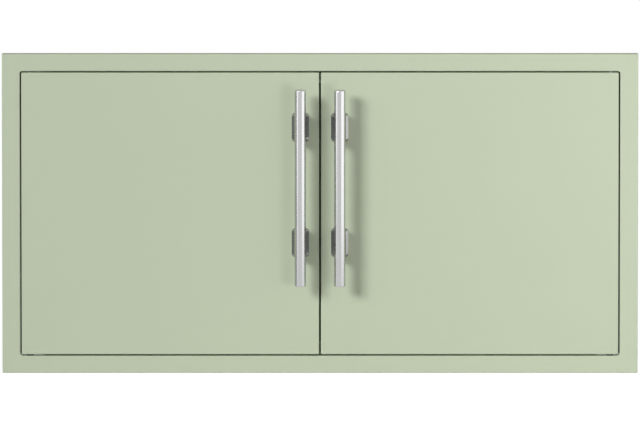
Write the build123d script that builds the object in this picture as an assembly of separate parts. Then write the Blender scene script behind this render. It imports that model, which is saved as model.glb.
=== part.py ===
from build123d import *
import math
import os

# Double-leaf access door in its own flush frame, made of folded sheet metal.
# X runs along the width, Y runs back into the wall and Z is up. All sizes are in millimetres.
# The origin is the centre of the frame, in the plane where the frame's lip meets the wall.

# Frame
FRAME_WIDTH = 1067.0
FRAME_HEIGHT = 540.0
SIDE_FACE_WIDTH = 30.0
LEVEL_FACE_WIDTH = 29.0
FRAME_STAND_OFF = 16.0
JAMB_REACH = 46.0
LIP_WIDTH = 11.0
FRAME_CORNER = 2.2
OPENING_CORNER = 5.0
SHEET = 1.2
BEND_INSIDE = 0.4

# Screw holes through the jamb
SCREW_HOLE_RADIUS = 2.5
SCREW_SETBACK = 10.0
SIDE_SCREW_SPACING = 300.0
LEVEL_SCREW_SPACING = 600.0

# Doors
REVEAL = 2.5
CENTRE_GAP = 3.0
DOOR_DEPTH = 20.0
LINER_RECESS = 1.0
CORE_HARDWARE_REACH = 12.5
NEST_CLEARANCE = 0.1

# Pivots
PIVOT_INSET = 14.0
PIVOT_SETBACK = 8.0
PIN_RADIUS = 3.0
PIN_HEAD_RADIUS = 5.0
PIN_HEAD_HEIGHT = 2.0
PIN_ENGAGEMENT = 8.0
PIN_CHAMFER = 0.8
RUNNING_CLEARANCE = 0.05
FIT_CLEARANCE = 0.05
PLATE_THICKNESS = 3.0
PLATE_LENGTH = 36.0
PLATE_CORNER = 2.0
BUSHING_WALL = 1.45
BUSHING_FLANGE_RADIUS = 6.0
BUSHING_FLANGE_THICKNESS = 1.0
BUSHING_LENGTH = 9.0
WASHER_CLEARANCE = 0.2

# Sprung release pin at the top of each door
RELEASE_TRAVEL = 8.0
RELEASE_MARGIN = 0.7
BRACKET_WIDTH = 16.0
BRACKET_THICKNESS = 1.5
BRACKET_CORNER = 3.0
SPRING_LENGTH = 33.0
SPRING_TURNS = 6
SPRING_WIRE = 1.0
SPRING_BORE_CLEARANCE = 0.6
COLLAR_HEIGHT = 2.0
PIN_TAIL = 18.0
KNOB_STEM_RADIUS = 2.0
KNOB_RADIUS = 6.5
KNOB_THICKNESS = 6.0
KNOB_STAND_OFF = 0.4
KNOB_EDGE = 1.5
SLOT_CLEARANCE = 0.6

# Stop rails behind the doors
STOP_GAP = 3.0
RAIL_HEIGHT = 22.0
RAIL_DEPTH = 20.0
RAIL_END_CLEARANCE = 3.0

# Rubber bumpers on the stop rails
BUMPER_RADIUS = 5.0
BUMPER_STEM_RADIUS = 2.0
BUMPER_BARB_RADIUS = 2.8
BUMPER_CLEARANCE = 0.3
BUMPER_DROP = 14.0
BUMPER_END_GAP = 36.0
BUMPER_INNER_OFFSET = 60.0

# Magnetic catches on the top rail
CATCH_OFFSET = 42.0
CATCH_WIDTH = 30.0
CATCH_EAR_WIDTH = 9.0
CATCH_EAR_THICKNESS = 4.0
CATCH_HEIGHT = 13.0
CATCH_DEPTH = 14.0
CATCH_WALL = 1.6
MAGNET_WIDTH = 24.0
MAGNET_THICKNESS = 4.0
POLE_THICKNESS = 1.2
POLE_CLEARANCE = 0.3
CATCH_SCREW_RADIUS = 1.6
CATCH_SCREW_HEAD_RADIUS = 3.0
CATCH_SCREW_HEAD_HEIGHT = 1.8
STRIKE_WIDTH = 48.0
STRIKE_HEIGHT = 10.0
STRIKE_THICKNESS = 1.2
RIVET_RADIUS = 1.6
RIVET_HEAD_RADIUS = 2.8
RIVET_HEAD_HEIGHT = 0.9
RIVET_INSET = 4.5

# Handles
HANDLE_OFFSET = 33.0
HANDLE_HEIGHT = 48.8
HANDLE_LENGTH = 332.0
HANDLE_RADIUS = 9.5
HANDLE_WALL = 1.5
HANDLE_END_ROUND = 2.0
HANDLE_STAND_OFF = 44.0
POST_SPACING = 195.0
POST_BASE_WIDTH = 29.0
POST_BASE_HEIGHT = 50.0
POST_BASE_CORNER = 7.0
POST_BASE_FOOT = 1.5
POST_FLARE_DEPTH = 4.0
POST_NECK_WIDTH = 21.0
POST_NECK_HEIGHT = 47.0
POST_NECK_CORNER = 4.5
POST_TOP_WIDTH = 17.5
POST_TOP_HEIGHT = 48.0
POST_TOP_CORNER = 4.0
HANDLE_SCREW_RADIUS = 2.5
HANDLE_SCREW_BITE = 12.0
HANDLE_SCREW_HEAD_RADIUS = 4.5
HANDLE_SCREW_HEAD_HEIGHT = 3.0
HANDLE_SCREW_SOCKET = 1.5
CHANNEL_WEB_WIDTH = 32.0
CHANNEL_FLANGE = 10.0
CHANNEL_END_GAP = 20.0
PLUG_RADIUS = 8.0
PLUG_RIM = 2.0
PLUG_RIM_THICKNESS = 1.2
PLUG_DEPTH = 3.0

# Places worked out from the sizes above
BEND_OUTSIDE = BEND_INSIDE + SHEET
FACE_Y = -FRAME_STAND_OFF
HOLLOW_FRONT = FACE_Y + SHEET
OPENING_WIDTH = FRAME_WIDTH - 2 * SIDE_FACE_WIDTH
OPENING_HEIGHT = FRAME_HEIGHT - 2 * LEVEL_FACE_WIDTH
OPENING_TOP = OPENING_HEIGHT / 2
SCREW_ROW = JAMB_REACH - SCREW_SETBACK
DOOR_WIDTH = (OPENING_WIDTH - 2 * REVEAL - CENTRE_GAP) / 2
DOOR_HEIGHT = OPENING_HEIGHT - 2 * REVEAL
DOOR_CORNER = OPENING_CORNER - REVEAL
DOOR_TOP = DOOR_HEIGHT / 2
DOOR_MIDDLE = CENTRE_GAP / 2 + DOOR_WIDTH / 2
DOOR_EDGE = OPENING_WIDTH / 2 - REVEAL
DOOR_BACK = FACE_Y + DOOR_DEPTH
SKIN_INSIDE = FACE_Y + SHEET
LINER_BACK = DOOR_BACK - LINER_RECESS
LINER_INSIDE = LINER_BACK - SHEET
HARDWARE_BACK = SKIN_INSIDE + CORE_HARDWARE_REACH
RETURN_INSIDE = DOOR_TOP - SHEET
PIVOT_X = DOOR_EDGE - PIVOT_INSET
PIVOT_Y = FACE_Y + PIVOT_SETBACK
PIVOT_BORE = PIN_RADIUS + RUNNING_CLEARANCE
BUSHING_RADIUS = PIVOT_BORE + BUSHING_WALL
WASHER_THICKNESS = REVEAL - BUSHING_FLANGE_THICKNESS - WASHER_CLEARANCE
RAIL_FRONT = DOOR_BACK + STOP_GAP
CORNER_SWING = math.hypot(PIVOT_INSET, DOOR_DEPTH - PIVOT_SETBACK)
RAIL_LENGTH = 2 * (PIVOT_X - CORNER_SWING - RAIL_END_CLEARANCE)
RAIL_INSIDE = OPENING_TOP - SHEET
STRIKE_BACK = LINER_BACK + STRIKE_THICKNESS
CATCH_FRONT = RAIL_FRONT + SHEET + BEND_INSIDE
POLE_STACK = MAGNET_THICKNESS + 2 * POLE_THICKNESS
CATCH_CENTRE_Z = RAIL_INSIDE - CATCH_HEIGHT / 2 - 1.5
BAR_Y = FACE_Y - HANDLE_STAND_OFF
BRACKET_TOP = RETURN_INSIDE
EAR_UNDERSIDE = BRACKET_TOP - BRACKET_THICKNESS
COLLAR_TOP = EAR_UNDERSIDE - FIT_CLEARANCE
SPRING_TOP = COLLAR_TOP - COLLAR_HEIGHT
SPRING_BOTTOM = SPRING_TOP - SPRING_LENGTH
BRACKET_BOTTOM = SPRING_BOTTOM - BRACKET_THICKNESS
RELEASE_PIN_TOP = DOOR_TOP + RELEASE_TRAVEL - RELEASE_MARGIN
RELEASE_PIN_BOTTOM = BRACKET_BOTTOM - PIN_TAIL
KNOB_Z = RELEASE_PIN_BOTTOM + 2 * KNOB_STEM_RADIUS
SPRING_RADIUS = PIN_RADIUS + SPRING_BORE_CLEARANCE + SPRING_WIRE / 2

SIDES = (("left", -1), ("right", 1))


# Shapes that several parts use

def slab(width, height, front, back, corner=0.0, x=0.0, z=0.0):
    # A rectangle seen from the front, with rounded corners, from the depth front to the depth back.
    outline = RectangleRounded(width, height, corner) if corner > 0 else Rectangle(width, height)
    return extrude(Plane.XZ.offset(-back) * Pos(x, z) * outline, back - front)


def rod_x(radius, start, end, y, z):
    return extrude(Plane(origin=(start, y, z), x_dir=(0, 1, 0), z_dir=(1, 0, 0)) * Circle(radius), end - start)


def rod_y(radius, start, end, x, z):
    return extrude(Plane(origin=(x, start, z), x_dir=(1, 0, 0), z_dir=(0, 1, 0)) * Circle(radius), end - start)


def rod_z(radius, start, end, x, y):
    return extrude(Plane(origin=(x, y, start), x_dir=(1, 0, 0), z_dir=(0, 0, 1)) * Circle(radius), end - start)


def front_edges(solid):
    return solid.faces().sort_by(Axis.Y)[0].edges()


def back_edges(solid):
    return solid.faces().sort_by(Axis.Y)[-1].edges()


def top_edges(solid):
    return solid.faces().sort_by(Axis.Z)[-1].edges()


def bottom_edges(solid):
    return solid.faces().sort_by(Axis.Z)[0].edges()


def save(solid, node):
    solid.label = node
    export_step(solid, f"parts/{node}.step")


# The frame and what is welded to it

def face_frame():
    # One folded ring: outer return with its lip on the wall, broad face, and jamb sleeve into the wall.
    outside = slab(FRAME_WIDTH, FRAME_HEIGHT, FACE_Y, 0, FRAME_CORNER)
    outside = fillet(front_edges(outside) + back_edges(outside), BEND_OUTSIDE)
    sleeve = slab(
        OPENING_WIDTH + 2 * SHEET, OPENING_HEIGHT + 2 * SHEET, FACE_Y, JAMB_REACH, OPENING_CORNER + SHEET
    )
    hollow = slab(
        FRAME_WIDTH - 2 * SHEET, FRAME_HEIGHT - 2 * SHEET, HOLLOW_FRONT, -SHEET, FRAME_CORNER - SHEET
    )
    hollow = fillet(back_edges(hollow), BEND_INSIDE) - sleeve
    hollow = fillet(front_edges(hollow), BEND_INSIDE)
    back_window = slab(FRAME_WIDTH - 2 * LIP_WIDTH, FRAME_HEIGHT - 2 * LIP_WIDTH, -SHEET, 0) - sleeve
    frame = outside - hollow - back_window + sleeve
    frame -= slab(OPENING_WIDTH, OPENING_HEIGHT, FACE_Y, JAMB_REACH, OPENING_CORNER)
    face = frame.faces().sort_by(Axis.Y)[0]
    frame = fillet(face.inner_wires()[0].edges(), BEND_OUTSIDE)
    for sign in (-1, 1):
        side = sign * OPENING_WIDTH / 2
        level = sign * OPENING_HEIGHT / 2
        for end in (-1, 1):
            frame -= rod_x(
                SCREW_HOLE_RADIUS, side - 2 * SHEET, side + 2 * SHEET, SCREW_ROW, end * SIDE_SCREW_SPACING / 2
            )
            frame -= rod_z(
                SCREW_HOLE_RADIUS, level - 2 * SHEET, level + 2 * SHEET, end * LEVEL_SCREW_SPACING / 2, SCREW_ROW
            )
        frame -= rod_z(
            PIN_RADIUS + FIT_CLEARANCE, -OPENING_TOP - 2 * SHEET, -OPENING_TOP + SHEET, sign * PIVOT_X, PIVOT_Y
        )
        frame -= rod_z(
            BUSHING_RADIUS + FIT_CLEARANCE, OPENING_TOP - SHEET, OPENING_TOP + 2 * SHEET, sign * PIVOT_X, PIVOT_Y
        )
    return frame


def pivot_plate(sign, level):
    # A thick plate welded behind the jamb sheet, inside the hollow face, where a pivot passes.
    near = level * (OPENING_TOP + SHEET)
    far = near + level * PLATE_THICKNESS
    width = 2 * (PIVOT_SETBACK - BEND_OUTSIDE - NEST_CLEARANCE)
    start = min(near, far)
    outline = Pos(sign * PIVOT_X, PIVOT_Y, start) * RectangleRounded(PLATE_LENGTH, width, PLATE_CORNER)
    bore = PIN_RADIUS if level < 0 else BUSHING_RADIUS
    plate = extrude(outline, PLATE_THICKNESS)
    return plate - rod_z(bore + FIT_CLEARANCE, start, start + PLATE_THICKNESS, sign * PIVOT_X, PIVOT_Y)


def pivot_pin(sign):
    # The fixed lower pin, headed under its plate, that carries the door's weight.
    head_top = -OPENING_TOP - SHEET - PLATE_THICKNESS
    x = sign * PIVOT_X
    head = rod_z(PIN_HEAD_RADIUS, head_top - PIN_HEAD_HEIGHT, head_top, x, PIVOT_Y)
    head = fillet(bottom_edges(head), PIN_HEAD_HEIGHT / 4)
    shank = rod_z(PIN_RADIUS, head_top, -DOOR_TOP + PIN_ENGAGEMENT, x, PIVOT_Y)
    shank = chamfer(top_edges(shank), PIN_CHAMFER)
    return head + shank


def thrust_washer(sign):
    x = sign * PIVOT_X
    washer = rod_z(BUSHING_FLANGE_RADIUS, -OPENING_TOP, -OPENING_TOP + WASHER_THICKNESS, x, PIVOT_Y)
    return washer - rod_z(PIVOT_BORE, -OPENING_TOP, -OPENING_TOP + WASHER_THICKNESS, x, PIVOT_Y)


def flanged_bushing(x, flange_start, flange_end, barrel_end):
    # The barrel leaves the flange towards barrel_end, up or down.
    low = min(flange_start, barrel_end)
    high = max(flange_start, barrel_end)
    flange = rod_z(
        BUSHING_FLANGE_RADIUS, min(flange_start, flange_end), max(flange_start, flange_end), x, PIVOT_Y
    )
    barrel = rod_z(BUSHING_RADIUS, low, high, x, PIVOT_Y)
    return flange + barrel - rod_z(PIVOT_BORE, low - REVEAL, high + REVEAL, x, PIVOT_Y)


def upper_bushing(sign):
    # Pressed up into the top jamb and its plate, for the sprung pin to enter from below.
    barrel_top = OPENING_TOP + SHEET + PLATE_THICKNESS + BUSHING_FLANGE_THICKNESS
    return flanged_bushing(
        sign * PIVOT_X, OPENING_TOP, OPENING_TOP - BUSHING_FLANGE_THICKNESS, barrel_top
    )


def stop_rail(level):
    # A folded angle on the jamb, behind the doors: the upright leg stops them.
    top = OPENING_TOP
    profile = Polyline(
        (RAIL_FRONT, top - RAIL_HEIGHT),
        (RAIL_FRONT, top),
        (RAIL_FRONT + RAIL_DEPTH, top),
        (RAIL_FRONT + RAIL_DEPTH, top - SHEET),
        (RAIL_FRONT + SHEET, top - SHEET),
        (RAIL_FRONT + SHEET, top - RAIL_HEIGHT),
        close=True,
    )
    rail = extrude(Plane.YZ.offset(-RAIL_LENGTH / 2) * make_face(profile), RAIL_LENGTH)
    inner_bend = rail.edges().filter_by(Axis.X).sort_by_distance((0, RAIL_FRONT + SHEET, top - SHEET))[0]
    rail = fillet(inner_bend, BEND_INSIDE)
    outer_bend = rail.edges().filter_by(Axis.X).sort_by_distance((0, RAIL_FRONT, top))[0]
    rail = fillet(outer_bend, BEND_OUTSIDE)
    for x, z in bumper_places(level):
        rail -= rod_y(BUMPER_STEM_RADIUS + FIT_CLEARANCE, RAIL_FRONT, RAIL_FRONT + SHEET, x, abs(z))
    if level > 0:
        for _, sign in SIDES:
            rail -= slab(
                MAGNET_WIDTH + 2 * CATCH_WALL, POLE_STACK + 2 * CATCH_WALL, RAIL_FRONT, RAIL_FRONT + SHEET,
                x=sign * CATCH_OFFSET, z=CATCH_CENTRE_Z,
            )
            for x in catch_screw_places(sign):
                rail -= rod_z(
                    CATCH_SCREW_RADIUS + FIT_CLEARANCE, RAIL_INSIDE, OPENING_TOP, x, CATCH_FRONT + CATCH_DEPTH / 2
                )
        return rail
    return mirror(rail, Plane.XY)


# Rubber bumpers

def bumper_places(level):
    # Each door meets a bumper at its outer top corner and one near the centre at the bottom.
    offset = RAIL_LENGTH / 2 - BUMPER_END_GAP if level > 0 else BUMPER_INNER_OFFSET
    z = level * (OPENING_TOP - BUMPER_DROP)
    return [(-offset, z), (offset, z)]


def bumper(x, z):
    # A push-in rubber button: domed head, stem through the rail and a barb behind it.
    head = rod_y(BUMPER_RADIUS, LINER_BACK + BUMPER_CLEARANCE, RAIL_FRONT, x, z)
    head = fillet(front_edges(head), BUMPER_RADIUS / 3)
    behind = RAIL_FRONT + SHEET + FIT_CLEARANCE
    stem = rod_y(BUMPER_STEM_RADIUS, RAIL_FRONT, behind, x, z)
    barb = rod_y(BUMPER_BARB_RADIUS, behind, behind + BUMPER_BARB_RADIUS, x, z)
    barb = chamfer(back_edges(barb), BUMPER_STEM_RADIUS / 2)
    return head + stem + barb


# Magnetic catches

def catch_screw_places(sign):
    reach = CATCH_WIDTH / 2 + CATCH_EAR_WIDTH / 2
    return [sign * CATCH_OFFSET - reach, sign * CATCH_OFFSET + reach]


def catch_body(sign):
    # A moulded housing under the top rail, open to the front for the pole plates, with two screw ears.
    x = sign * CATCH_OFFSET
    back = CATCH_FRONT + CATCH_DEPTH
    middle = (CATCH_FRONT + back) / 2
    body = slab(CATCH_WIDTH, CATCH_HEIGHT, CATCH_FRONT, back, x=x, z=RAIL_INSIDE - CATCH_HEIGHT / 2)
    body = fillet(body.edges().filter_by(Axis.Y).group_by(Axis.Z)[0], CATCH_WALL)
    body += slab(
        CATCH_WIDTH + 2 * CATCH_EAR_WIDTH, CATCH_EAR_THICKNESS, CATCH_FRONT, back,
        x=x, z=RAIL_INSIDE - CATCH_EAR_THICKNESS / 2,
    )
    body -= slab(
        MAGNET_WIDTH + 2 * NEST_CLEARANCE, POLE_STACK + 2 * NEST_CLEARANCE, CATCH_FRONT, back - CATCH_WALL,
        x=x, z=CATCH_CENTRE_Z,
    )
    for place in catch_screw_places(sign):
        body -= rod_z(
            CATCH_SCREW_RADIUS + FIT_CLEARANCE, RAIL_INSIDE - CATCH_EAR_THICKNESS, RAIL_INSIDE, place, middle
        )
    return body


def catch_magnet(sign):
    back = CATCH_FRONT + CATCH_DEPTH - CATCH_WALL - NEST_CLEARANCE
    return slab(
        MAGNET_WIDTH, MAGNET_THICKNESS, CATCH_FRONT, back, x=sign * CATCH_OFFSET, z=CATCH_CENTRE_Z
    )


def catch_poles(sign):
    # Two steel plates, over and under the magnet, that reach forward to the strike.
    back = CATCH_FRONT + CATCH_DEPTH - CATCH_WALL - NEST_CLEARANCE
    front = STRIKE_BACK + POLE_CLEARANCE
    offset = (MAGNET_THICKNESS + POLE_THICKNESS) / 2
    return [
        slab(
            MAGNET_WIDTH, POLE_THICKNESS, front, back, x=sign * CATCH_OFFSET, z=CATCH_CENTRE_Z + level * offset
        )
        for level in (-1, 1)
    ]


def catch_screws():
    screws = []
    y = CATCH_FRONT + CATCH_DEPTH / 2
    head_top = RAIL_INSIDE - CATCH_EAR_THICKNESS
    for _, sign in SIDES:
        for x in catch_screw_places(sign):
            head = rod_z(CATCH_SCREW_HEAD_RADIUS, head_top - CATCH_SCREW_HEAD_HEIGHT, head_top, x, y)
            head = fillet(bottom_edges(head), CATCH_SCREW_HEAD_HEIGHT / 2)
            screws.append(head + rod_z(CATCH_SCREW_RADIUS, head_top, OPENING_TOP - FIT_CLEARANCE, x, y))
    return screws


def strike_rivet_places(sign):
    reach = STRIKE_WIDTH / 2 - RIVET_INSET
    return [sign * CATCH_OFFSET - reach, sign * CATCH_OFFSET + reach]


def strike_plate(sign):
    plate = slab(
        STRIKE_WIDTH, STRIKE_HEIGHT, LINER_BACK, STRIKE_BACK, STRIKE_HEIGHT / 5,
        x=sign * CATCH_OFFSET, z=CATCH_CENTRE_Z,
    )
    for x in strike_rivet_places(sign):
        plate -= rod_y(RIVET_RADIUS + FIT_CLEARANCE, LINER_BACK, STRIKE_BACK, x, CATCH_CENTRE_Z)
    return plate


def strike_rivets(sign):
    rivets = []
    for x in strike_rivet_places(sign):
        head = rod_y(RIVET_HEAD_RADIUS, STRIKE_BACK, STRIKE_BACK + RIVET_HEAD_HEIGHT, x, CATCH_CENTRE_Z)
        head = fillet(back_edges(head), RIVET_HEAD_HEIGHT * 0.6)
        shank = rod_y(RIVET_RADIUS, LINER_INSIDE - FIT_CLEARANCE, STRIKE_BACK, x, CATCH_CENTRE_Z)
        tail = rod_y(
            RIVET_HEAD_RADIUS, LINER_INSIDE - FIT_CLEARANCE - RIVET_HEAD_HEIGHT, LINER_INSIDE - FIT_CLEARANCE,
            x, CATCH_CENTRE_Z,
        )
        rivets.append(head + shank + tail)
    return rivets


# Door leaves

def post_places():
    return [HANDLE_HEIGHT + level * POST_SPACING / 2 for level in (-1, 1)]


def door_skin(sign):
    # The outer pan: a flat front with all four sides folded back and the corners welded.
    x = sign * DOOR_MIDDLE
    pan = slab(DOOR_WIDTH, DOOR_HEIGHT, FACE_Y, DOOR_BACK, DOOR_CORNER, x=x)
    pan = fillet(front_edges(pan), BEND_OUTSIDE)
    inside = slab(
        DOOR_WIDTH - 2 * SHEET, DOOR_HEIGHT - 2 * SHEET, SKIN_INSIDE, DOOR_BACK, DOOR_CORNER - SHEET, x=x
    )
    pan -= fillet(front_edges(inside), BEND_INSIDE)
    pivot = sign * PIVOT_X
    pan -= rod_z(BUSHING_RADIUS + FIT_CLEARANCE, -DOOR_TOP - SHEET, -RETURN_INSIDE + SHEET, pivot, PIVOT_Y)
    pan -= rod_z(PIN_RADIUS + SLOT_CLEARANCE, RETURN_INSIDE - SHEET, DOOR_TOP + SHEET, pivot, PIVOT_Y)
    for z in post_places():
        pan -= rod_y(HANDLE_SCREW_RADIUS + NEST_CLEARANCE, FACE_Y, SKIN_INSIDE, sign * HANDLE_OFFSET, z)
    return pan


def door_liner(sign):
    # The inner pan, set into the skin's sides from behind, with its own short sides facing forward.
    x = sign * DOOR_MIDDLE
    gap = SHEET + NEST_CLEARANCE
    front = HARDWARE_BACK + 2 * NEST_CLEARANCE
    pan = slab(DOOR_WIDTH - 2 * gap, DOOR_HEIGHT - 2 * gap, front, LINER_BACK, DOOR_CORNER - SHEET / 2, x=x)
    pan = fillet(back_edges(pan), BEND_OUTSIDE)
    gap += SHEET
    inside = slab(DOOR_WIDTH - 2 * gap, DOOR_HEIGHT - 2 * gap, front, LINER_INSIDE, DOOR_CORNER - 1.5 * SHEET, x=x)
    pan -= fillet(back_edges(inside), BEND_INSIDE)
    slot_radius = KNOB_STEM_RADIUS + SLOT_CLEARANCE
    slot_high = KNOB_Z + SLOT_CLEARANCE
    slot_low = KNOB_Z - RELEASE_TRAVEL - SLOT_CLEARANCE
    pan -= slab(
        2 * slot_radius, slot_high - slot_low + 2 * slot_radius, LINER_INSIDE, LINER_BACK, slot_radius * 0.999,
        x=sign * PIVOT_X, z=(slot_high + slot_low) / 2,
    )
    for z in post_places():
        pan -= rod_y(PLUG_RADIUS, LINER_INSIDE, LINER_BACK, sign * HANDLE_OFFSET, z)
    for place in strike_rivet_places(sign):
        pan -= rod_y(RIVET_RADIUS + FIT_CLEARANCE, LINER_INSIDE, LINER_BACK, place, CATCH_CENTRE_Z)
    return pan


def door_hinge_plate(sign):
    # A plate welded on the bottom side of the skin, where the lower bushing is pressed in.
    front = SKIN_INSIDE + BEND_INSIDE + NEST_CLEARANCE
    width = HARDWARE_BACK - front
    length = 2 * (PIVOT_INSET - DOOR_CORNER - NEST_CLEARANCE)
    start = -RETURN_INSIDE
    outline = Pos(sign * PIVOT_X, front + width / 2, start) * RectangleRounded(length, width, PLATE_CORNER)
    bore = rod_z(BUSHING_RADIUS + FIT_CLEARANCE, start, start + PLATE_THICKNESS, sign * PIVOT_X, PIVOT_Y)
    return extrude(outline, PLATE_THICKNESS) - bore


def lower_bushing(sign):
    # Its flange runs on the thrust washer, and the fixed pin enters its barrel from below.
    flange_bottom = -OPENING_TOP + WASHER_THICKNESS + RUNNING_CLEARANCE
    return flanged_bushing(sign * PIVOT_X, -DOOR_TOP, flange_bottom, -DOOR_TOP + BUSHING_LENGTH)


def pin_bracket(sign):
    # A folded U welded inside the skin's top corner; the pin slides through its two ears.
    x = sign * PIVOT_X
    height = BRACKET_TOP - BRACKET_BOTTOM
    middle = (BRACKET_TOP + BRACKET_BOTTOM) / 2
    block = slab(BRACKET_WIDTH, height, SKIN_INSIDE, HARDWARE_BACK, x=x, z=middle)
    block = fillet(front_edges(block).filter_by(Axis.X), BEND_INSIDE + BRACKET_THICKNESS)
    inside = slab(
        BRACKET_WIDTH, height - 2 * BRACKET_THICKNESS, SKIN_INSIDE + BRACKET_THICKNESS, HARDWARE_BACK, x=x, z=middle
    )
    block -= fillet(front_edges(inside).filter_by(Axis.X), BEND_INSIDE)
    block = fillet(block.edges().filter_by(Axis.Z).group_by(Axis.Y)[-1], BRACKET_CORNER)
    return block - rod_z(PIVOT_BORE, BRACKET_BOTTOM, BRACKET_TOP, x, PIVOT_Y)


def release_pin(sign):
    # The sprung upper pin: its collar stops under the bracket's upper ear and takes the spring.
    x = sign * PIVOT_X
    pin = rod_z(PIN_RADIUS, RELEASE_PIN_BOTTOM, RELEASE_PIN_TOP, x, PIVOT_Y)
    pin = chamfer(top_edges(pin) + bottom_edges(pin), PIN_CHAMFER)
    collar_radius = SPRING_RADIUS + SPRING_WIRE / 2
    pin += rod_z(collar_radius, SPRING_TOP, COLLAR_TOP, x, PIVOT_Y)
    return pin - rod_y(KNOB_STEM_RADIUS + FIT_CLEARANCE, PIVOT_Y, PIVOT_Y + 2 * PIN_RADIUS, x, KNOB_Z)


def release_knob(sign):
    # A turned knob whose stem screws into the pin through the slot in the liner.
    x = sign * PIVOT_X
    front = LINER_BACK + KNOB_STAND_OFF
    knob = rod_y(KNOB_RADIUS, front, front + KNOB_THICKNESS, x, KNOB_Z)
    knob = fillet(back_edges(knob), KNOB_EDGE)
    return knob + rod_y(KNOB_STEM_RADIUS, PIVOT_Y + FIT_CLEARANCE, front, x, KNOB_Z)


def pin_spring(sign):
    # A round-wire compression spring between the lower ear and the pin's collar.
    rise = SPRING_LENGTH - SPRING_WIRE - 2 * FIT_CLEARANCE
    start = SPRING_BOTTOM + SPRING_WIRE / 2 + FIT_CLEARANCE
    path = Pos(sign * PIVOT_X, PIVOT_Y, start) * Helix(rise / SPRING_TURNS, rise, SPRING_RADIUS)
    section = Plane(origin=path @ 0, z_dir=path % 0) * Circle(SPRING_WIRE / 2)
    return sweep(section, path)


# Handles

def handle_channel(sign):
    # A hat-shaped stiffener inside the door: its web backs the skin where the posts are screwed on.
    x = sign * HANDLE_OFFSET
    back = LINER_INSIDE - NEST_CLEARANCE
    height = DOOR_HEIGHT - 2 * CHANNEL_END_GAP
    wall = CHANNEL_WEB_WIDTH / 2
    flange_end = wall + CHANNEL_FLANGE

    def bent(points, corners):
        # Half of the hat's section, from the middle of its web to the end of its flange.
        half = make_face(Polyline(*points, close=True))
        for corner, radius in corners:
            half = fillet(half.vertices().sort_by_distance((*corner, 0))[0], radius)
        return half

    half = bent(
        [
            (0, SKIN_INSIDE),
            (wall, SKIN_INSIDE),
            (wall, back - SHEET),
            (flange_end, back - SHEET),
            (flange_end, back),
            (wall - SHEET, back),
            (wall - SHEET, SKIN_INSIDE + SHEET),
            (0, SKIN_INSIDE + SHEET),
        ],
        [
            ((wall, SKIN_INSIDE), BEND_OUTSIDE),
            ((wall - SHEET, SKIN_INSIDE + SHEET), BEND_INSIDE),
            ((wall, back - SHEET), BEND_INSIDE),
            ((wall - SHEET, back), BEND_OUTSIDE),
        ],
    )
    channel = Pos(x, 0, -height / 2) * extrude(half + mirror(half, Plane.YZ), height)
    for z in post_places():
        channel -= rod_y(HANDLE_SCREW_RADIUS + NEST_CLEARANCE, SKIN_INSIDE, SKIN_INSIDE + SHEET, x, z)
    return channel


def handle_bar(sign):
    # A round tube closed by welded ends, with its rims rounded off.
    low = HANDLE_HEIGHT - HANDLE_LENGTH / 2
    high = HANDLE_HEIGHT + HANDLE_LENGTH / 2
    x = sign * HANDLE_OFFSET
    bar = rod_z(HANDLE_RADIUS, low, high, x, BAR_Y)
    bar = fillet(top_edges(bar) + bottom_edges(bar), HANDLE_END_ROUND)
    end_wall = HANDLE_END_ROUND + HANDLE_WALL
    return bar - rod_z(HANDLE_RADIUS - HANDLE_WALL, low + end_wall, high - end_wall, x, BAR_Y)


def handle_post(sign, z):
    # An oblong foot on the door, bevelled in to a neck whose saddle fits round the back of the bar.
    x = sign * HANDLE_OFFSET
    foot_top = FACE_Y - POST_BASE_FOOT
    neck_start = foot_top - POST_FLARE_DEPTH

    def section(width, height, corner, y):
        return Plane.XZ.offset(-y) * Pos(x, z) * RectangleRounded(width, height, corner)

    neck_section = section(POST_NECK_WIDTH, POST_NECK_HEIGHT, POST_NECK_CORNER, neck_start)
    flare = loft([section(POST_BASE_WIDTH, POST_BASE_HEIGHT, POST_BASE_CORNER, foot_top), neck_section])
    neck = loft([neck_section, section(POST_TOP_WIDTH, POST_TOP_HEIGHT, POST_TOP_CORNER, BAR_Y)])
    post = slab(POST_BASE_WIDTH, POST_BASE_HEIGHT, foot_top, FACE_Y, POST_BASE_CORNER, x=x, z=z) + flare + neck
    reach = POST_BASE_HEIGHT
    post -= rod_z(HANDLE_RADIUS + FIT_CLEARANCE, z - reach, z + reach, x, BAR_Y)
    return post - rod_y(
        HANDLE_SCREW_RADIUS + FIT_CLEARANCE, FACE_Y - HANDLE_SCREW_BITE - FIT_CLEARANCE, FACE_Y, x, z
    )


def handle_screws(sign):
    screws = []
    x = sign * HANDLE_OFFSET
    seat = SKIN_INSIDE + SHEET
    for z in post_places():
        head = rod_y(HANDLE_SCREW_HEAD_RADIUS, seat, seat + HANDLE_SCREW_HEAD_HEIGHT, x, z)
        head = fillet(back_edges(head), HANDLE_SCREW_HEAD_HEIGHT / 3)
        socket_front = seat + HANDLE_SCREW_HEAD_HEIGHT - HANDLE_SCREW_SOCKET
        plane = Plane.XZ.offset(-seat - HANDLE_SCREW_HEAD_HEIGHT)
        head -= extrude(plane * Pos(x, z) * RegularPolygon(HANDLE_SCREW_RADIUS, 6), HANDLE_SCREW_SOCKET)
        screws.append(head + rod_y(HANDLE_SCREW_RADIUS, FACE_Y - HANDLE_SCREW_BITE, seat, x, z))
    return screws


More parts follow.
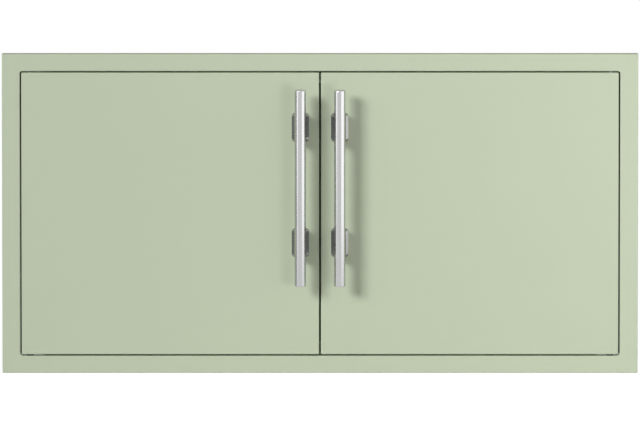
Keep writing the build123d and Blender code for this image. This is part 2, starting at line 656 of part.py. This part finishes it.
def hole_plugs(sign):
    # Push-in caps in the liner, over the two holes that give access to the handle's screws.
    plugs = []
    for z in post_places():
        x = sign * HANDLE_OFFSET
        rim = rod_y(PLUG_RADIUS + PLUG_RIM, LINER_BACK, LINER_BACK + PLUG_RIM_THICKNESS, x, z)
        rim = fillet(back_edges(rim), PLUG_RIM_THICKNESS / 2)
        plug = rim + rod_y(PLUG_RADIUS - FIT_CLEARANCE, LINER_BACK - PLUG_DEPTH, LINER_BACK, x, z)
        plugs.append(plug - rod_y(PLUG_RADIUS - SHEET, LINER_BACK - PLUG_DEPTH, LINER_BACK, x, z))
    return plugs


# Every node, named as a person would name the piece

save(face_frame(), "face_frame")
save(stop_rail(1), "stop_rail_top")
save(stop_rail(-1), "stop_rail_bottom")
save(Compound(children=catch_screws()), "catch_screws")

for level, level_name in ((1, "top"), (-1, "bottom")):
    for (side, sign), place in zip(SIDES, bumper_places(level)):
        save(bumper(*place), f"bumper_{level_name}_{side}")

for side, sign in SIDES:
    save(pivot_plate(sign, -1), f"pivot_plate_lower_{side}")
    save(pivot_plate(sign, 1), f"pivot_plate_upper_{side}")
    save(pivot_pin(sign), f"pivot_pin_{side}")
    save(thrust_washer(sign), f"thrust_washer_{side}")
    save(upper_bushing(sign), f"upper_bushing_{side}")
    save(catch_body(sign), f"catch_body_{side}")
    save(catch_magnet(sign), f"catch_magnet_{side}")
    save(Compound(children=catch_poles(sign)), f"catch_poles_{side}")
    save(door_skin(sign), f"door_skin_{side}")
    save(door_liner(sign), f"door_liner_{side}")
    save(door_hinge_plate(sign), f"door_hinge_plate_{side}")
    save(lower_bushing(sign), f"lower_bushing_{side}")
    save(pin_bracket(sign), f"pin_bracket_{side}")
    save(release_pin(sign), f"release_pin_{side}")
    save(release_knob(sign), f"release_knob_{side}")
    save(pin_spring(sign), f"pin_spring_{side}")
    save(strike_plate(sign), f"strike_plate_{side}")
    save(Compound(children=strike_rivets(sign)), f"strike_rivets_{side}")
    save(handle_channel(sign), f"handle_channel_{side}")
    save(handle_bar(sign), f"handle_bar_{side}")
    for z, name in zip(post_places(), ("lower", "upper")):
        save(handle_post(sign, z), f"handle_post_{name}_{side}")
    save(Compound(children=handle_screws(sign)), f"handle_screws_{side}")
    save(Compound(children=hole_plugs(sign)), f"hole_plugs_{side}")
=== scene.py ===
import math
import bmesh
import bpy
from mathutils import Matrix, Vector


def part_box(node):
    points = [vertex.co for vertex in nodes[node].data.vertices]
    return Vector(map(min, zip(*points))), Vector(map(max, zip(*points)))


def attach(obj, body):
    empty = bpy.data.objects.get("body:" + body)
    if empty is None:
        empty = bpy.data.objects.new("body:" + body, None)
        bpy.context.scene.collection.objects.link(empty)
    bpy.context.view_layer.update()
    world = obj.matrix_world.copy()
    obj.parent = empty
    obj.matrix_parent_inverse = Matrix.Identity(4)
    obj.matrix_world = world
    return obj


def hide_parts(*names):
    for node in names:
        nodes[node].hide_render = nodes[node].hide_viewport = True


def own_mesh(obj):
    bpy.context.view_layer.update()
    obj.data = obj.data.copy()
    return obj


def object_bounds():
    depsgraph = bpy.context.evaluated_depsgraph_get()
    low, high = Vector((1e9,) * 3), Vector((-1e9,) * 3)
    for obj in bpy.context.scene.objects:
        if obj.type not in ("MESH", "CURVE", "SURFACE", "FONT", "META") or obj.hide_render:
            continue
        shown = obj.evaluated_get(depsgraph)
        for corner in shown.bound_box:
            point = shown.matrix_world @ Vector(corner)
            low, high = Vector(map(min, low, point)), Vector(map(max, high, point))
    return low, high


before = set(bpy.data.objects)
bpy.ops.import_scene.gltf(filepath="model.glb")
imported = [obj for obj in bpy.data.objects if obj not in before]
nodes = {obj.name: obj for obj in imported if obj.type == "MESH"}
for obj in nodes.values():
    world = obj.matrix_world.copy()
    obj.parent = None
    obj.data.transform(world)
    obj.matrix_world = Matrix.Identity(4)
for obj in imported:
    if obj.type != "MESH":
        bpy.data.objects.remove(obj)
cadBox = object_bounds()
sides = ("left", "right")
print("frame loaded:", len(nodes), "pieces")


# Node helpers

def newMaterial(name):
    material = bpy.data.materials.new(name)
    material.use_nodes = True
    tree = material.node_tree
    return material, tree, tree.nodes["Principled BSDF"]


def addNode(tree, kind, **values):
    node = tree.nodes.new(kind)
    for key, value in values.items():
        if hasattr(node, key):
            setattr(node, key, value)
        else:
            node.inputs[key.replace("_", " ")].default_value = value
    return node


def newGroup(name, inputs, outputs):
    group = bpy.data.node_groups.new(name, "ShaderNodeTree")
    for label, kind, value in inputs:
        socket = group.interface.new_socket(label, in_out="INPUT", socket_type=kind)
        if value is not None:
            socket.default_value = value
    for label, kind in outputs:
        group.interface.new_socket(label, in_out="OUTPUT", socket_type=kind)
    return group, group.nodes.new("NodeGroupInput"), group.nodes.new("NodeGroupOutput")


def placeGroup(tree, group, **values):
    node = tree.nodes.new("ShaderNodeGroup")
    node.node_tree = group
    for key, value in values.items():
        node.inputs[key].default_value = value
    return node


def addBump(tree, shader, height, strength, distance):
    bump = addNode(tree, "ShaderNodeBump")
    bump.inputs["Strength"].default_value = strength
    bump.inputs["Distance"].default_value = distance
    tree.links.new(height, bump.inputs["Height"])
    for link in shader.inputs["Normal"].links:
        tree.links.new(link.from_socket, bump.inputs["Normal"])
    tree.links.new(bump.outputs["Normal"], shader.inputs["Normal"])


# Surface effects that the finishes share

def varyTone(group, entry, leave, noise):
    # The noise swings the colour and the roughness about the values that the group is given.
    links = group.links
    shift = addNode(group, "ShaderNodeMath", operation="SUBTRACT")
    links.new(noise, shift.inputs[0])
    shift.inputs[1].default_value = 0.5
    swing = addNode(group, "ShaderNodeMath", operation="MULTIPLY_ADD")
    links.new(shift.outputs[0], swing.inputs[0])
    links.new(entry.outputs["Amount"], swing.inputs[1])
    swing.inputs[2].default_value = 1.0
    tone = addNode(group, "ShaderNodeVectorMath", operation="SCALE")
    links.new(entry.outputs["Colour"], tone.inputs[0])
    links.new(swing.outputs[0], tone.inputs["Scale"])
    rough = addNode(group, "ShaderNodeMath", operation="MULTIPLY_ADD")
    links.new(shift.outputs[0], rough.inputs[0])
    links.new(entry.outputs["Spread"], rough.inputs[1])
    links.new(entry.outputs["Roughness"], rough.inputs[2])
    links.new(tone.outputs[0], leave.inputs["Colour"])
    links.new(rough.outputs[0], leave.inputs["Roughness"])


def makeMottle():
    # Soft change of tone over a surface, with a fine grain on top.
    group, entry, leave = newGroup(
        "mottle",
        [
            ("Colour", "NodeSocketColor", (0.5, 0.5, 0.5, 1)),
            ("Amount", "NodeSocketFloat", 0.03),
            ("Scale", "NodeSocketFloat", 6.0),
            ("Grain", "NodeSocketFloat", 900.0),
            ("Roughness", "NodeSocketFloat", 0.4),
            ("Spread", "NodeSocketFloat", 0.05),
        ],
        [("Colour", "NodeSocketColor"), ("Roughness", "NodeSocketFloat"), ("Height", "NodeSocketFloat")],
    )
    links = group.links
    place = group.nodes.new("ShaderNodeTexCoord")
    cloud = addNode(group, "ShaderNodeTexNoise", Detail=3.0)
    links.new(place.outputs["Object"], cloud.inputs["Vector"])
    links.new(entry.outputs["Scale"], cloud.inputs["Scale"])
    peel = addNode(group, "ShaderNodeTexNoise", Detail=2.0)
    links.new(place.outputs["Object"], peel.inputs["Vector"])
    links.new(entry.outputs["Grain"], peel.inputs["Scale"])
    varyTone(group, entry, leave, cloud.outputs["Fac"])
    links.new(peel.outputs["Fac"], leave.inputs["Height"])
    return group


def makeBrushing():
    # Fine parallel scratches: noise drawn out along one axis by the Stretch vector.
    group, entry, leave = newGroup(
        "brushing",
        [
            ("Colour", "NodeSocketColor", (0.5, 0.5, 0.5, 1)),
            ("Stretch", "NodeSocketVector", (400.0, 400.0, 6.0)),
            ("Amount", "NodeSocketFloat", 0.1),
            ("Roughness", "NodeSocketFloat", 0.25),
            ("Spread", "NodeSocketFloat", 0.12),
        ],
        [("Colour", "NodeSocketColor"), ("Roughness", "NodeSocketFloat"), ("Height", "NodeSocketFloat")],
    )
    links = group.links
    place = group.nodes.new("ShaderNodeTexCoord")
    scaled = addNode(group, "ShaderNodeVectorMath", operation="MULTIPLY")
    links.new(place.outputs["Object"], scaled.inputs[0])
    links.new(entry.outputs["Stretch"], scaled.inputs[1])
    grain = addNode(group, "ShaderNodeTexNoise", Scale=1.0, Detail=4.0)
    links.new(scaled.outputs[0], grain.inputs["Vector"])
    varyTone(group, entry, leave, grain.outputs["Fac"])
    links.new(grain.outputs["Fac"], leave.inputs["Height"])
    return group


def makeSpotWelds(inset, spaces):
    # Round dimples in a row along the edges of a liner, the same on both sides of x = 0. The inset is the way
    # from the edges to the first dimples, and spaces is the number of gaps in each row.
    low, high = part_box("door_liner_right")
    start = (low[0] + inset, 0, low[2] + inset)
    pitch = ((high[0] - low[0] - 2 * inset) / spaces, 1, (high[2] - low[2] - 2 * inset) / spaces)
    group, entry, leave = newGroup(
        "spotWelds", [("Radius", "NodeSocketFloat", 0.003)], [("Height", "NodeSocketFloat")],
    )
    links = group.links
    place = group.nodes.new("ShaderNodeTexCoord")
    axes = group.nodes.new("ShaderNodeSeparateXYZ")
    links.new(place.outputs["Object"], axes.inputs[0])
    across = addNode(group, "ShaderNodeMath", operation="ABSOLUTE")
    links.new(axes.outputs["X"], across.inputs[0])
    flat = group.nodes.new("ShaderNodeCombineXYZ")
    links.new(across.outputs[0], flat.inputs["X"])
    links.new(axes.outputs["Z"], flat.inputs["Z"])

    def step(operation, source, value=None):
        node = addNode(group, "ShaderNodeVectorMath", operation=operation)
        links.new(source.outputs[0], node.inputs[0])
        if value is not None:
            node.inputs[1].default_value = value
        return node

    counted = step("DIVIDE", step("SUBTRACT", flat, start), pitch)
    nearest = step("FLOOR", step("ADD", counted, (0.5, 0.5, 0.5)))
    offset = step("SUBTRACT", counted)
    links.new(nearest.outputs[0], offset.inputs[1])
    away = step("LENGTH", step("MULTIPLY", offset, (pitch[0], 0, pitch[2])))
    dimple = addNode(group, "ShaderNodeMapRange", interpolation_type="SMOOTHSTEP")
    links.new(away.outputs["Value"], dimple.inputs["Value"])
    links.new(entry.outputs["Radius"], dimple.inputs["From Min"])
    dimple.inputs["From Max"].default_value = 0.0
    dimple.inputs["To Max"].default_value = -1.0
    half = spaces / 2
    middle = step("ABSOLUTE", step("SUBTRACT", counted, (half, half, half)))
    parts = group.nodes.new("ShaderNodeSeparateXYZ")
    links.new(middle.outputs[0], parts.inputs[0])
    outer = addNode(group, "ShaderNodeMath", operation="MAXIMUM")
    links.new(parts.outputs["X"], outer.inputs[0])
    links.new(parts.outputs["Z"], outer.inputs[1])
    border = addNode(group, "ShaderNodeMath", operation="GREATER_THAN")
    links.new(outer.outputs[0], border.inputs[0])
    border.inputs[1].default_value = half - 0.5
    mark = addNode(group, "ShaderNodeMath", operation="MULTIPLY")
    links.new(dimple.outputs["Result"], mark.inputs[0])
    links.new(border.outputs[0], mark.inputs[1])
    links.new(mark.outputs[0], leave.inputs["Height"])
    return group


def makeKnurl():
    # Crossed ridges round a knob whose axis lies along y, left flat inside the Rim radius.
    group, entry, leave = newGroup(
        "knurl",
        [
            ("Centre", "NodeSocketVector", (0.0, 0.0, 0.0)),
            ("Rim", "NodeSocketFloat", 0.006),
            ("Count", "NodeSocketFloat", 30.0),
            ("Slant", "NodeSocketFloat", 5000.0),
        ],
        [("Height", "NodeSocketFloat")],
    )
    links = group.links
    place = group.nodes.new("ShaderNodeTexCoord")
    axes = group.nodes.new("ShaderNodeSeparateXYZ")
    links.new(place.outputs["Object"], axes.inputs[0])
    across = addNode(group, "ShaderNodeMath", operation="ABSOLUTE")
    links.new(axes.outputs["X"], across.inputs[0])
    whole = group.nodes.new("ShaderNodeCombineXYZ")
    links.new(across.outputs[0], whole.inputs["X"])
    links.new(axes.outputs["Z"], whole.inputs["Z"])
    local = addNode(group, "ShaderNodeVectorMath", operation="SUBTRACT")
    links.new(whole.outputs[0], local.inputs[0])
    links.new(entry.outputs["Centre"], local.inputs[1])
    radius = addNode(group, "ShaderNodeVectorMath", operation="LENGTH")
    links.new(local.outputs[0], radius.inputs[0])
    parts = group.nodes.new("ShaderNodeSeparateXYZ")
    links.new(local.outputs[0], parts.inputs[0])

    def calculate(operation, first, second):
        node = addNode(group, "ShaderNodeMath", operation=operation)
        links.new(first, node.inputs[0])
        links.new(second, node.inputs[1])
        return node.outputs[0]

    angle = calculate("ARCTAN2", parts.outputs["Z"], parts.outputs["X"])
    turn = calculate("MULTIPLY", angle, entry.outputs["Count"])
    climb = calculate("MULTIPLY", axes.outputs["Y"], entry.outputs["Slant"])
    waves = []
    for operation in ("ADD", "SUBTRACT"):
        wave = addNode(group, "ShaderNodeMath", operation="SINE")
        links.new(calculate(operation, turn, climb), wave.inputs[0])
        waves.append(wave.outputs[0])
    ridge = calculate("MAXIMUM", waves[0], waves[1])
    rim = calculate("GREATER_THAN", radius.outputs["Value"], entry.outputs["Rim"])
    links.new(calculate("MULTIPLY", ridge, rim), leave.inputs["Height"])
    return group


weldMarks = {"inset": 0.0072, "spaces": 6, "radius": 0.0036, "strength": 1.0, "depth": 0.0012}
mottle = makeMottle()
brushing = makeBrushing()
spotWelds = makeSpotWelds(weldMarks["inset"], weldMarks["spaces"])
knurl = makeKnurl()


def makeFinish(look, effect, **values):
    material, tree, shader = newMaterial(look["name"])
    surface = placeGroup(
        tree, effect, Colour=(*look["colour"], 1), Amount=look["variation"], Roughness=look["roughness"],
        Spread=look["roughnessSpread"], **values,
    )
    tree.links.new(surface.outputs["Colour"], shader.inputs["Base Color"])
    tree.links.new(surface.outputs["Roughness"], shader.inputs["Roughness"])
    shader.inputs["Metallic"].default_value = look.get("metallic", 0.0)
    shader.inputs["Specular IOR Level"].default_value = look.get("specular", 0.5)
    addBump(tree, shader, surface.outputs["Height"], look["bump"], look["bumpDepth"])
    return material


def mottledFinish(look):
    return makeFinish(look, mottle, Scale=look["cloudScale"], Grain=look["grainScale"])


def brushedFinish(look):
    return makeFinish({**look, "metallic": 1.0}, brushing, Stretch=look["stretch"])


def addRelief(material, effect, strength, depth, **values):
    # A second bump, laid over the one that the finish has.
    tree = material.node_tree
    relief = placeGroup(tree, effect, **values)
    addBump(tree, tree.nodes["Principled BSDF"], relief.outputs["Height"], strength, depth)


def dress(material, *names):
    for name in names:
        for slot in nodes[name].material_slots:
            slot.material = material


def bothSides(*names):
    return [f"{name}_{side}" for name in names for side in sides]


# Powder-coated sheet metal

sageCoat = {
    "name": "sagePowderCoat",
    "colour": (0.515, 0.578, 0.428),
    "variation": 0.05,
    "cloudScale": 2.5,
    "grainScale": 700.0,
    "roughness": 0.42,
    "roughnessSpread": 0.06,
    "specular": 0.4,
    "bump": 0.12,
    "bumpDepth": 0.0004,
}
dress(
    mottledFinish(sageCoat), "face_frame", "stop_rail_top", "stop_rail_bottom", *bothSides("door_skin"),
)

# The liners are spot-welded into the leaves.
weldedCoat = mottledFinish({**sageCoat, "name": "weldedPowderCoat"})
addRelief(weldedCoat, spotWelds, weldMarks["strength"], weldMarks["depth"], Radius=weldMarks["radius"])
dress(weldedCoat, *bothSides("door_liner"))

# Stainless handles

barSteel = {
    "name": "brushedBarSteel",
    "colour": (0.505, 0.505, 0.51),
    "stretch": (900.0, 900.0, 14.0),
    "variation": 0.12,
    "roughness": 0.2,
    "roughnessSpread": 0.1,
    "bump": 0.05,
    "bumpDepth": 0.0001,
}
dress(brushedFinish(barSteel), *bothSides("handle_bar"))

# The posts' steel is darker than the bars'. This is painted shade, which darkens the reflections along the
# posts' flanks.
shadedPostSteel = {
    "name": "postSteelWithPaintedShade",
    "colour": (0.36, 0.36, 0.365),
    "stretch": (60.0, 900.0, 60.0),
    "variation": 0.1,
    "roughness": 0.17,
    "roughnessSpread": 0.06,
    "bump": 0.06,
    "bumpDepth": 0.0001,
}
dress(brushedFinish(shadedPostSteel), *bothSides("handle_post_lower", "handle_post_upper"))

# Hidden steel hardware

zincPlate = {
    "name": "zincPlatedSteel",
    "colour": (0.52, 0.54, 0.57),
    "variation": 0.35,
    "cloudScale": 60.0,
    "grainScale": 1800.0,
    "roughness": 0.32,
    "roughnessSpread": 0.2,
    "metallic": 1.0,
    "bump": 0.15,
    "bumpDepth": 0.0001,
}
dress(
    mottledFinish(zincPlate), "catch_screws",
    *bothSides(
        "pivot_plate_lower", "pivot_plate_upper", "pivot_pin", "door_hinge_plate", "pin_bracket",
        "release_pin", "strike_plate", "strike_rivets", "handle_channel", "handle_screws", "catch_poles",
    ),
)

turnedSteel = {
    "name": "turnedKnobSteel",
    "colour": (0.6, 0.6, 0.61),
    "stretch": (30.0, 2500.0, 30.0),
    "variation": 0.15,
    "roughness": 0.24,
    "roughnessSpread": 0.1,
    "bump": 0.1,
    "bumpDepth": 0.0001,
}
knobKnurl = {
    "rim": 0.0062,
    "count": 28.0,
    "slant": 4500.0,
    "strength": 1.0,
    "depth": 0.0004,
}
knobSteel = brushedFinish(turnedSteel)
low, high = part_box("release_knob_right")
addRelief(
    knobSteel, knurl, knobKnurl["strength"], knobKnurl["depth"],
    Centre=((low[0] + high[0]) / 2, 0, (low[2] + high[2]) / 2),
    Rim=knobKnurl["rim"], Count=knobKnurl["count"], Slant=knobKnurl["slant"],
)
dress(knobSteel, *bothSides("release_knob"))

springSteel = {
    "name": "springWire",
    "colour": (0.3, 0.3, 0.32),
    "variation": 0.2,
    "cloudScale": 80.0,
    "grainScale": 2500.0,
    "roughness": 0.35,
    "roughnessSpread": 0.1,
    "metallic": 1.0,
    "bump": 0.1,
    "bumpDepth": 0.00005,
}
dress(mottledFinish(springSteel), *bothSides("pin_spring"))


def makeCoil(side):
    # A copy of the spring, hung on its door, stands in for the part. Its lower end rests on the bracket.
    source = nodes[f"pin_spring_{side}"]
    spring = bpy.data.objects.new(f"release_spring_{side}", source.data.copy())
    bpy.context.scene.collection.objects.link(spring)
    spring.matrix_world = source.matrix_world.copy()
    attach(spring, f"{side}_door")
    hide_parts(source.name)
    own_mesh(spring)


for side in sides:
    makeCoil(side)

# Plastics, rubber and magnet

nylon = {
    "name": "blackNylon",
    "colour": (0.03, 0.03, 0.03),
    "variation": 0.06,
    "cloudScale": 90.0,
    "grainScale": 2200.0,
    "roughness": 0.45,
    "roughnessSpread": 0.1,
    "bump": 0.1,
    "bumpDepth": 0.0001,
}
dress(mottledFinish(nylon), *bothSides("thrust_washer", "upper_bushing", "lower_bushing"))

catchPlastic = {
    "name": "catchPlastic",
    "colour": (0.72, 0.72, 0.68),
    "variation": 0.05,
    "cloudScale": 50.0,
    "grainScale": 1500.0,
    "roughness": 0.5,
    "roughnessSpread": 0.1,
    "bump": 0.25,
    "bumpDepth": 0.0001,
}
dress(mottledFinish(catchPlastic), *bothSides("catch_body"))

plugPlastic = {
    "name": "plugPlastic",
    "colour": (0.45, 0.5, 0.38),
    "variation": 0.05,
    "cloudScale": 50.0,
    "grainScale": 1200.0,
    "roughness": 0.48,
    "roughnessSpread": 0.1,
    "bump": 0.25,
    "bumpDepth": 0.0001,
}
dress(mottledFinish(plugPlastic), *bothSides("hole_plugs"))

rubber = {
    "name": "blackRubber",
    "colour": (0.02, 0.02, 0.021),
    "variation": 0.3,
    "cloudScale": 80.0,
    "grainScale": 1600.0,
    "roughness": 0.7,
    "roughnessSpread": 0.15,
    "bump": 0.3,
    "bumpDepth": 0.0001,
}
dress(mottledFinish(rubber), *bothSides("bumper_top", "bumper_bottom"))

ferrite = {
    "name": "groundFerrite",
    "colour": (0.035, 0.035, 0.038),
    "variation": 0.3,
    "cloudScale": 120.0,
    "grainScale": 2600.0,
    "roughness": 0.6,
    "roughnessSpread": 0.2,
    "bump": 0.3,
    "bumpDepth": 0.0001,
}
dress(mottledFinish(ferrite), *bothSides("catch_magnet"))
print("finishes placed")


# Studio

studio = {
    "floorSeen": 0.9,
    "floorBounce": 0.42,
    "floorHalfWidth": 60.0,
    "floorWhite": 1.09,
    "floorShadow": 0.12,
    "ambient": 0.14,
    "backGlow": 4.5,
    "glowStart": 0.2,
    "glowTop": 0.5,
}

# Each lamp is a flat panel turned to the door: where it stands as seen from the door, its width and height,
# and its power. Lamps at elevation 0 stand on the floor.
lamps = {
    "keyLight": {"azimuth": -35.0, "elevation": 22.0, "distance": 28.0, "size": (7.6, 6.0), "power": 5050.0},
    "sideLight": {"azimuth": -54.0, "elevation": 20.0, "distance": 14.0, "size": (5.0, 4.0), "power": 120.0},
    "fillLight": {"azimuth": 24.0, "elevation": 0.0, "distance": 3.0, "size": (0.7, 0.5), "power": 14.0},
    "leftPanel": {"azimuth": -64.0, "elevation": 0.0, "distance": 2.2, "size": (1.05, 0.95), "power": 3.0},
    "rightPanel": {"azimuth": 64.0, "elevation": 0.0, "distance": 1.5, "size": (2.0, 1.25), "power": 7.15},
}

# The sheet of painted shade behind the gaps reaches by the margin beyond the leaves, and stands clear behind
# the pieces in front of it. Its near-black colour paints the shade of the space behind the door.
paintedGapShade = {
    "colour": (0.011, 0.012, 0.01),
    "margin": 0.0024,
    "clear": 0.0015,
    "frontal": 0.97,
}
cardColour = (0.02, 0.02, 0.02)
sideCard = {"x": -0.95, "front": -0.228, "back": -0.02, "top": 0.2}
backCard = {"y": 1.2, "halfWidth": 1.6, "bottom": 0.3, "top": 1.1}


def newMatte(name, colour, roughness=1.0):
    material, tree, shader = newMaterial(name)
    shader.inputs["Base Color"].default_value = (*colour, 1)
    shader.inputs["Roughness"].default_value = roughness
    shader.inputs["Specular IOR Level"].default_value = 0.0
    return material, tree, shader


def lightPathMask(tree):
    # One for camera, mirror and glass rays, and nought for all others.
    rays = tree.nodes.new("ShaderNodeLightPath")
    first = addNode(tree, "ShaderNodeMath", operation="MAXIMUM")
    second = addNode(tree, "ShaderNodeMath", operation="MAXIMUM")
    tree.links.new(rays.outputs["Is Camera Ray"], first.inputs[0])
    tree.links.new(rays.outputs["Is Glossy Ray"], first.inputs[1])
    tree.links.new(first.outputs[0], second.inputs[0])
    tree.links.new(rays.outputs["Is Transmission Ray"], second.inputs[1])
    return second.outputs[0]


def rectangle(start, end, low, high):
    return (start, low), (end, low), (end, high), (start, high)


def flatSheet(name, faces, material):
    mesh = bpy.data.meshes.new(name)
    shape = bmesh.new()
    for corners in faces:
        shape.faces.new([shape.verts.new(corner) for corner in corners])
    shape.to_mesh(mesh)
    shape.free()
    mesh.materials.append(material)
    sheet = bpy.data.objects.new(name, mesh)
    bpy.context.scene.collection.objects.link(sheet)
    return sheet


def makeFloor():
    # A diffuse floor that takes the shadow, brought up to white for camera, mirror and glass rays.
    material, tree, shader = newMatte("paleFloor", (1, 1, 1), 0.9)
    seen = lightPathMask(tree)
    tone = addNode(tree, "ShaderNodeMapRange")
    tree.links.new(seen, tone.inputs["Value"])
    tone.inputs["To Min"].default_value = studio["floorBounce"]
    tone.inputs["To Max"].default_value = studio["floorSeen"]
    tree.links.new(tone.outputs["Result"], shader.inputs["Base Color"])
    white = addNode(tree, "ShaderNodeEmission", Strength=studio["floorWhite"])
    white.inputs["Color"].default_value = (1, 1, 1, 1)
    share = addNode(tree, "ShaderNodeMath", operation="MULTIPLY")
    tree.links.new(seen, share.inputs[0])
    share.inputs[1].default_value = 1 - studio["floorShadow"]
    mix = tree.nodes.new("ShaderNodeMixShader")
    tree.links.new(share.outputs[0], mix.inputs[0])
    tree.links.new(shader.outputs[0], mix.inputs[1])
    tree.links.new(white.outputs[0], mix.inputs[2])
    tree.links.new(mix.outputs[0], tree.nodes["Material Output"].inputs["Surface"])
    half = studio["floorHalfWidth"]
    level = cadBox[0][2]
    flatSheet("floor", [[(x, y, level) for x, y in rectangle(-half, half, -half, half)]], material)


def makePaintedGapShade():
    # A near-black sheet of painted shade for the dark space behind the door. The camera sees it through the
    # gaps where it looks almost straight in, and it is clear otherwise.
    material, tree, shader = newMatte("paintedShadeSheet", paintedGapShade["colour"])
    rays = tree.nodes.new("ShaderNodeLightPath")
    surface = tree.nodes.new("ShaderNodeNewGeometry")
    facing = addNode(tree, "ShaderNodeVectorMath", operation="DOT_PRODUCT")
    facing.inputs[1].default_value = (0, -1, 0)
    tree.links.new(surface.outputs["Incoming"], facing.inputs[0])
    straight = addNode(tree, "ShaderNodeMath", operation="GREATER_THAN")
    tree.links.new(facing.outputs["Value"], straight.inputs[0])
    straight.inputs[1].default_value = paintedGapShade["frontal"]
    shown = addNode(tree, "ShaderNodeMath", operation="MULTIPLY")
    tree.links.new(rays.outputs["Is Camera Ray"], shown.inputs[0])
    tree.links.new(straight.outputs[0], shown.inputs[1])
    clear = tree.nodes.new("ShaderNodeBsdfTransparent")
    mix = tree.nodes.new("ShaderNodeMixShader")
    tree.links.new(shown.outputs[0], mix.inputs[0])
    tree.links.new(clear.outputs[0], mix.inputs[1])
    tree.links.new(shader.outputs[0], mix.inputs[2])
    tree.links.new(mix.outputs[0], tree.nodes["Material Output"].inputs["Surface"])
    leaf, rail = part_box("door_skin_right")[1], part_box("stop_rail_top")[1]
    edge, top = leaf[0] + paintedGapShade["margin"], leaf[2] + paintedGapShade["margin"]
    near, far = leaf[1] + paintedGapShade["clear"], rail[1] + paintedGapShade["clear"]
    # One sheet behind the stop rails, and beyond the ends of the rails a strip close behind each leaf.
    strips = ((-edge, edge, far), (-edge, -rail[0], near), (edge, rail[0], near))
    faces = [[(x, y, z) for x, z in rectangle(start, end, -top, top)] for start, end, y in strips]
    flatSheet("paintedGapShade", faces, material)


def makeCards():
    # Black cards, as a photographer sets them. The left flanks of the posts mirror the low one at the side,
    # and the upper return of the frame mirrors the one behind.
    material = newMatte("blackCard", cardColour)[0]
    edges = rectangle(sideCard["front"], sideCard["back"], cadBox[0][2], sideCard["top"])
    beside = flatSheet("sideCard", [[(sideCard["x"], y, z) for y, z in edges]], material)
    edges = rectangle(-backCard["halfWidth"], backCard["halfWidth"], backCard["bottom"], backCard["top"])
    behind = flatSheet("backCard", [[(x, backCard["y"], z) for x, z in edges]], material)
    beside.visible_camera = False
    behind.visible_camera = False
    behind.visible_diffuse = False
    behind.visible_shadow = False


def makeWorld():
    world = bpy.data.worlds.new("studio")
    world.use_nodes = True
    tree = world.node_tree
    back = tree.nodes["Background"]
    back.inputs["Color"].default_value = (1, 1, 1, 1)
    # White where it is seen, and otherwise a weak sky with a low soft glow behind the door.
    place = tree.nodes.new("ShaderNodeTexCoord")
    axes = tree.nodes.new("ShaderNodeSeparateXYZ")
    tree.links.new(place.outputs["Generated"], axes.inputs[0])
    behind = addNode(tree, "ShaderNodeMapRange", interpolation_type="SMOOTHSTEP")
    tree.links.new(axes.outputs["Y"], behind.inputs["Value"])
    behind.inputs["From Min"].default_value = studio["glowStart"]
    low = addNode(tree, "ShaderNodeMapRange", interpolation_type="SMOOTHSTEP")
    tree.links.new(axes.outputs["Z"], low.inputs["Value"])
    low.inputs["From Max"].default_value = studio["glowTop"]
    low.inputs["To Min"].default_value = studio["backGlow"]
    low.inputs["To Max"].default_value = 0.0
    sky = addNode(tree, "ShaderNodeMath", operation="MULTIPLY_ADD")
    tree.links.new(behind.outputs["Result"], sky.inputs[0])
    tree.links.new(low.outputs["Result"], sky.inputs[1])
    sky.inputs[2].default_value = studio["ambient"]
    level = addNode(tree, "ShaderNodeMapRange")
    tree.links.new(lightPathMask(tree), level.inputs["Value"])
    tree.links.new(sky.outputs[0], level.inputs["To Min"])
    level.inputs["To Max"].default_value = 1.0
    tree.links.new(level.outputs["Result"], back.inputs["Strength"])
    bpy.context.scene.world = world


def addPanel(name, place, target, size, power):
    light = bpy.data.lights.new(name, "AREA")
    light.shape = "RECTANGLE"
    light.size, light.size_y = size
    light.energy = power
    panel = bpy.data.objects.new(name, light)
    panel.location = place
    panel.rotation_mode = "QUATERNION"
    panel.rotation_quaternion = (Vector(target) - Vector(place)).to_track_quat("-Z", "Y")
    panel.visible_camera = False
    bpy.context.scene.collection.objects.link(panel)
    return panel


def sideways(azimuth, elevation, distance):
    # A place seen from the origin: azimuth 0 is towards the viewer, positive to the right.
    turn, rise = math.radians(azimuth), math.radians(elevation)
    return Vector(
        (math.sin(turn) * math.cos(rise), -math.cos(turn) * math.cos(rise), math.sin(rise))
    ) * distance


def makeLights():
    for name, lamp in lamps.items():
        place = sideways(lamp["azimuth"], lamp["elevation"], lamp["distance"])
        aim = Vector((0, 0, 0))
        if lamp["elevation"] == 0:
            place.z = aim.z = cadBox[0][2] + lamp["size"][1] / 2
        panel = addPanel(name, place, aim, lamp["size"], lamp["power"])
        # The fill leaves no streak on the bars, and the left panel does nothing else.
        panel.visible_glossy = name != "fillLight"
        panel.visible_diffuse = name != "leftPanel"


makeFloor()
makePaintedGapShade()
makeCards()
makeWorld()
makeLights()

view = {
    "lens": 900.0,
    "sensor": 36.0,
    "elevation": 7.75,
    "azimuth": 0.0,
    "imageWidth": 640,
    "millimetresPerPixel": 1.678,
    "target": (0.0, -0.016, 0.0004),
    "clipStart": 0.5,
    "clipEnd": 500.0,
}


def makeCamera():
    data = bpy.data.cameras.new("camera")
    data.lens = view["lens"]
    data.sensor_width = view["sensor"]
    span = view["imageWidth"] * view["millimetresPerPixel"] / 1000
    distance = span * view["lens"] / view["sensor"]
    camera = bpy.data.objects.new("camera", data)
    back = sideways(view["azimuth"], view["elevation"], 1.0)
    camera.location = Vector(view["target"]) + back * distance
    camera.rotation_mode = "QUATERNION"
    camera.rotation_quaternion = (-back).to_track_quat("-Z", "Y")
    data.clip_start = view["clipStart"]
    data.clip_end = view["clipEnd"]
    bpy.context.scene.collection.objects.link(camera)
    bpy.context.scene.camera = camera


makeCamera()
bpy.context.scene.view_settings.view_transform = "Standard"
print("studio and camera set")
